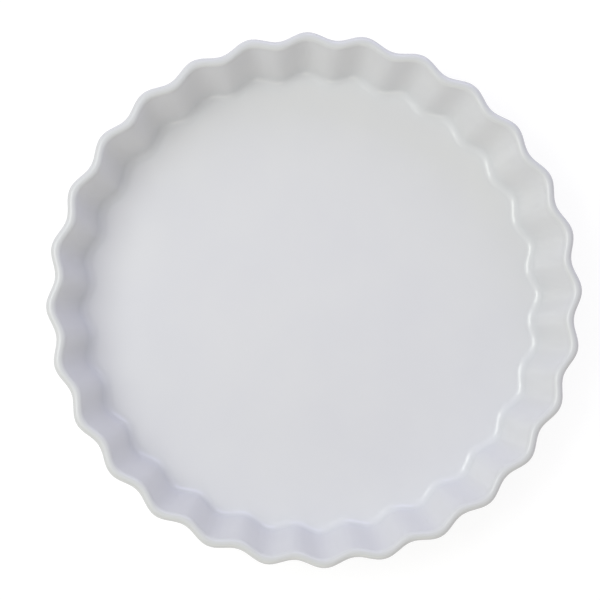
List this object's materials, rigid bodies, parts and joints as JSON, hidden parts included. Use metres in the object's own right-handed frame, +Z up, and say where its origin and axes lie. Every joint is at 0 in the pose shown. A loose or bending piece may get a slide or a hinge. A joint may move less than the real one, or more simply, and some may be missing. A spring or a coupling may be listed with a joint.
{
  "type": "fluted quiche dish",
  "caption": "Round shallow baking dish in white glazed porcelain, with a flat floor, a fluted leaning wall, a rounded rim and a foot ring.",
  "frame": {"origin": "centre of the face that the foot ring rests on", "axes": "+Z up along the dish's axis, out of its open side; +X through the crest of one flute"},
  "size_m": [0.28, 0.28, 0.04],
  "materials": {
    "glazed_porcelain": "gloss"
  },
  "bodies": {
    "root": {"fluted_dish": "glazed_porcelain"}
  },
  "joints": []
}
